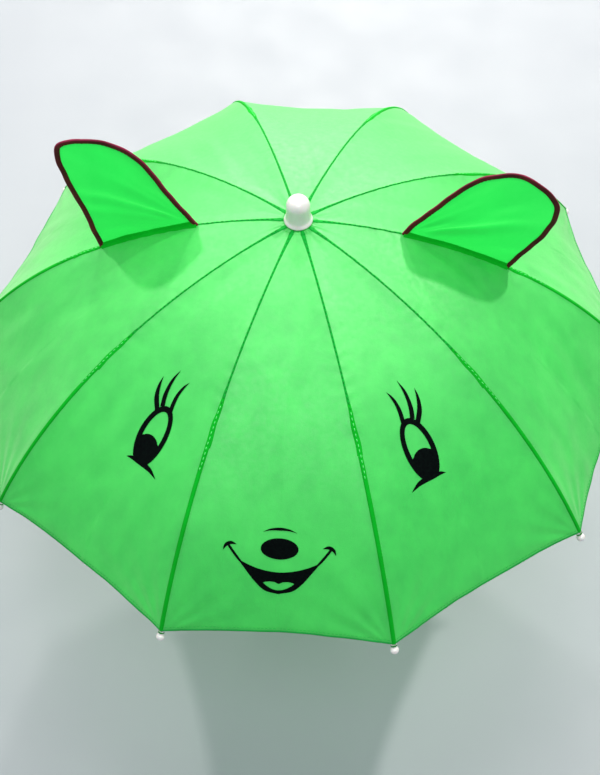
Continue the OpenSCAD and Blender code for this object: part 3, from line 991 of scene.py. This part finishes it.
# ---- finial and tips
def finial():
    """A round cap on a neck that flares to a small flange on the cloth."""
    neck, shoulder, dome = 9.8, 16.8, 9.9
    flare = [(11.2, 0), (11.75, 0.3), (11.8, 1.0), (11.3, 2.2), (10.6, 3.4), (10.15, 5.0), (9.9, 8.0)]
    turn = np.linspace(0, math.pi / 2, 26)[1:-1]
    profile = [(4.6, 0), *spline(flare + [(neck, 12.0), (neck, shoulder)], 40)]
    profile += [(neck * math.cos(a), shoulder + dome * math.sin(a)) for a in turn]
    profile += [(1.2, 26.6), (1.0, 26.4), (0, 26.4)]
    return lathe("finial", profile, PLASTIC, 96, Matrix.Translation((0, 0, CANOPY_TOP + 0.0001)))


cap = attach(finial(), "shaft")
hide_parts("finial_cap")


def tip_place(k):
    """The rib's end, with +Z pointing out along it."""
    x, z = dome_place(RIB_MID, SLOPE_RIM)
    at = Matrix.Rotation(2 * HALF * k, 4, "Z") @ Matrix.Translation((x, 0, z))
    return at @ Matrix.Rotation(math.pi / 2 + SLOPE_RIM, 4, "Y")


def ball_tip(k):
    """A ball on a grooved neck, hollow from below for the rib's end."""
    ball, middle = 3.6, 7.0
    neck = [(2.3, 0.4), (2.6, 0.7), (2.6, 1.4), (2.3, 1.8), (2.1, 2.6), (2.1, 3.4), (2.3, 4.0)]
    turn = np.linspace(-0.95, math.pi / 2, 30)[:-1]
    profile = [(0, 4.0), (1.9, 4.0), (1.9, 0.4), *spline(neck, 24)]
    profile += [(ball * math.cos(a), middle + ball * math.sin(a)) for a in turn]
    profile += [(0, middle + ball)]
    return lathe(f"ball_tip_{k}", profile, PLASTIC, 40, tip_place(k))


def tip_thread(k):
    """The thread that ties the corner of the cloth to the tip."""
    parts = []
    turn = circle(24)
    for n, z in enumerate((0.002, 0.0025, 0.003)):
        path = np.stack([0.00235 * np.cos(turn), 0.00235 * np.sin(turn), z + 0.0003 * np.sin(turn + n)], -1)
        parts.append(tube_parts(path, 0.00025, 6, closed=True))
    for y in (-0.0012, 0.0, 0.0012):
        line = [(-0.0016, 1.3 * y, -0.0022), (-0.0025, y, 0.0002), (-0.0029, y * 0.8, 0.0014)]
        path = spline(line + [(-0.0023, y * 0.6, 0.0027)], 12)
        parts.append(tube_parts(path, 0.00024, 6))
    obj = make(f"tip_thread_{k}", *join_parts(parts), THREAD, smooth=60)
    obj.data.transform(tip_place(k))
    return obj


for k in range(GORES):
    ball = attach(ball_tip(k), f"rib_body_{k}")
    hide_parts(f"rib_tip_{k}")
    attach(tip_thread(k), f"rib_body_{k}")


# ---- the handle
def handle():
    """A hooked grip with a collar, swept in one skin along its own centre line.

    Its measures are the grip's radius, the hook's radius, and the heights where the hook starts and ends.
    """
    grip, hook, low, end = 0.0086, 0.026, -0.036, -0.024
    profile = [
        (4.6, 47.8), (6, 48), (6.6, 47.8), (8.4, 44.8), (9.6, 43.4), (9.8, 42.8), (9.8, 38.6),
        (9.6, 38.1), (8.7, 37.8), (8.5, 37.4), (8.5, 35), (8, 34.6), (8, 33.6), (8.6, 33.2), (8.6, 31.2),
        (8.1, 30.8), (8.1, 29.8), (8.6, 29.4),
    ]
    line = [(r * MM, 0, z * MM) for r, z in profile]
    line += [(grip, 0, z) for z in np.linspace(0.027, low, 40)]
    bend = np.linspace(0, math.pi, 80)[1:]
    line += [(grip, hook - hook * math.cos(a), low - hook * math.sin(a)) for a in bend]
    line += [(grip, 2 * hook, z) for z in np.linspace(-0.034, end, 8)]
    rounding = np.linspace(0, math.pi / 2, 16)[1:]
    line += [(max(grip * math.cos(a), 0.0002), 2 * hook, end + grip * math.sin(a)) for a in rounding]
    radius, y, z = np.array(line).T
    path = np.stack([0 * y, y, z], -1)
    ahead = np.gradient(path, axis=0)
    ahead[: len(profile)] = (0, 0, -1)
    side = np.tile([1.0, 0.0, 0.0], (len(path), 1))
    out = np.cross(unit(ahead), side)
    section = circle_points(72)
    section = section * (1 + 0.018 * np.exp(-((section[:, :1] / 0.05) ** 2)))
    rings = sweep(path, side, out, radius[:, None, None] * section)
    faces = grid_faces(len(path), 72, wrap_cols=True, flip=True)
    faces += [tuple((len(path) - 1) * 72 + j for j in range(72))]
    return make("hook_handle", rings, faces, PLASTIC, smooth=40)


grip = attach(handle(), "shaft")
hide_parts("handle")


# ---- closing strap
STRAP_RIB = 3
STRAP_X = 0.013  # from the rib's line to the strap's middle
STRAP_HALF = 0.0068


def under_cloth(slope, across, depth):
    """Points below the cloth beside the strap's rib, and the direction down from it."""
    down = -rib_normal(STRAP_RIB, slope, across / half_width(slope))
    return on_rib(STRAP_RIB, slope, across, -depth), down


def strap():
    """The strap that ties the closed umbrella, lying along the inside of the cloth."""
    slope = np.linspace(math.radians(38.2), SLOPE_RIM - 0.018, 70)
    v = (slope - slope[0]) / (slope[-1] - slope[0])
    wide = STRAP_HALF * np.sqrt(np.clip(1 - np.clip((0.06 - v) / 0.06, 0, 1) ** 2, 0.02, 1))
    line = np.linspace(-1, 1, 15)
    across = STRAP_X + wide[:, None] * line
    ease = 0.0006 * smooth_noise(slope * 40, 0.0, 61) + 0.0005 * np.sin(v * 9)
    puff = 0.00025 * (1 - line**4)
    top = on_rib(STRAP_RIB, slope[:, None], across, -0.0021 + ease[:, None] + puff)
    low = on_rib(STRAP_RIB, slope[:, None], across, -0.0027 + ease[:, None] - puff)
    points = np.vstack([top.reshape(-1, 3), low.reshape(-1, 3)])
    n, m = across.shape
    faces = grid_faces(n, m) + grid_faces(n, m, start=n * m, flip=True)
    number = np.arange(n * m).reshape(n, m)
    rim = [*number[:, 0], *number[-1, 1:], *number[-2::-1, -1], *number[0, -2:0:-1]]
    faces += [(a, n * m + a, n * m + b, b) for a, b in zip(rim, rim[1:] + rim[:1])]
    uv = np.stack([across + 0.05, np.broadcast_to(slope[:, None] * DOME_R, across.shape)], -1)
    uv = np.vstack([uv.reshape(-1, 2)] * 2)
    return make("tie_strap_cloth", points, faces, CLOTH, smooth=50, uv=uv), slope, ease


def strap_thread(slope, ease):
    """A row of stitches along each side of the strap."""
    parts = []
    place = np.arange(slope[2], slope[-1], 0.0034 / DOME_R)
    for x in (STRAP_X - 0.0052, STRAP_X + 0.0052):
        depth = 0.00285 - np.interp(place, slope, ease)
        centre, down = under_cloth(place, x, depth)
        ahead = under_cloth(place + 0.003, x, depth)[0] - centre
        parts.append(stitches(centre, ahead, down, 0.0023, 0.0002))
    return make("tie_strap_thread", *join_parts(parts), THREAD, smooth=60)


def strap_snap(slope, ease):
    """The press stud near the strap's free end."""
    spot, down = under_cloth(slope[6:7], STRAP_X, 0.0028 - ease[6:7])
    turn = Vector(down[0]).to_track_quat("Z", "Y").to_matrix().to_4x4()
    place = Matrix.Translation(Vector(spot[0])) @ turn
    flange = [(0, -0.8), (4.0, -0.8), (4.2, -0.4), (4.2, 0.3), (3.8, 0.7)]
    stud = [(2.8, 0.9), (2.0, 0.9), (1.9, 1.8), (1.4, 2.1), (0, 2.1)]
    return lathe("tie_strap_snap", flange + stud, STEEL, 40, place, smooth=50)


band, *course = strap()
band_thread, snap = strap_thread(*course), strap_snap(*course)
for piece, slot in ((band, "green_cloth"), (band_thread, "green_thread"), (snap, "steel")):
    soft_on_rib(piece, STRAP_RIB, 1)
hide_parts("tie_strap")
extras = [band_thread, snap]


# ---- carried-over CAD parts
def dress(obj, material, slot):
    obj.data.materials.clear()
    obj.data.materials.append(material)


for node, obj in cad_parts.items():
    if not obj.hide_render:
        dress(obj, *((PLASTIC, "white_plastic") if node in ("crown", "runner") else (STEEL, "steel")))


# ---- floor and lights
def plane(name, size, z, material):
    n = 12
    line = np.linspace(-size / 2, size / 2, n)
    x, y = np.meshgrid(line, line, indexing="ij")
    return make(name, np.stack([x, y, np.full_like(x, z)], -1), grid_faces(n, n), material)


plane("floor", 9.0, cad_box[0][2] - 0.0005, FLOOR)


LIT_POINT = Vector((0.0, 0.0, 0.38))
WARM = (1.0, 0.98, 0.92)
SOFT_WARM = (1.0, 0.98, 0.93)
COOL = (0.95, 0.98, 1.0)
LIGHTS = (  # name, place, size in metres, power in watts, colour
    ("key_right", (1.55, 0.99, 2.76), 0.13, 58.0, WARM),
    ("key_left", (-1.64, 1.15, 2.61), 0.13, 40.0, WARM),
    ("key_back", (-0.2, 2.2, 2.1), 0.16, 28.0, WARM),
    ("back_wall", (0.0, 3.2, 1.6), 2.2, 100.0, SOFT_WARM),
    ("ceiling", (0.0, 0.9, 3.3), 1.6, 34.0, SOFT_WARM),
    ("front_fill", (0.3, -1.5, 2.9), 1.8, 47.0, COOL),
    ("side_fill", (-2.4, -0.3, 1.9), 1.5, 8.0, COOL),
)


for name, place, size, power, colour in LIGHTS:
    lamp = bpy.data.lights.new(name, "AREA")
    lamp.shape = "DISK"
    lamp.size = size
    lamp.energy = power
    lamp.color = colour
    obj = bpy.data.objects.new(name, lamp)
    obj.location = place
    obj.rotation_euler = (LIT_POINT - Vector(place)).to_track_quat("-Z", "Y").to_euler()
    bpy.context.scene.collection.objects.link(obj)
world = bpy.data.worlds.new("studio")
world.use_nodes = True
sky = world.node_tree.nodes["Background"].inputs
sky["Color"].default_value = (0.86, 0.9, 0.95, 1.0)
sky["Strength"].default_value = 0.5
bpy.context.scene.world = world
bpy.context.scene.view_settings.view_transform = "Standard"
bpy.context.scene.view_settings.look = "None"
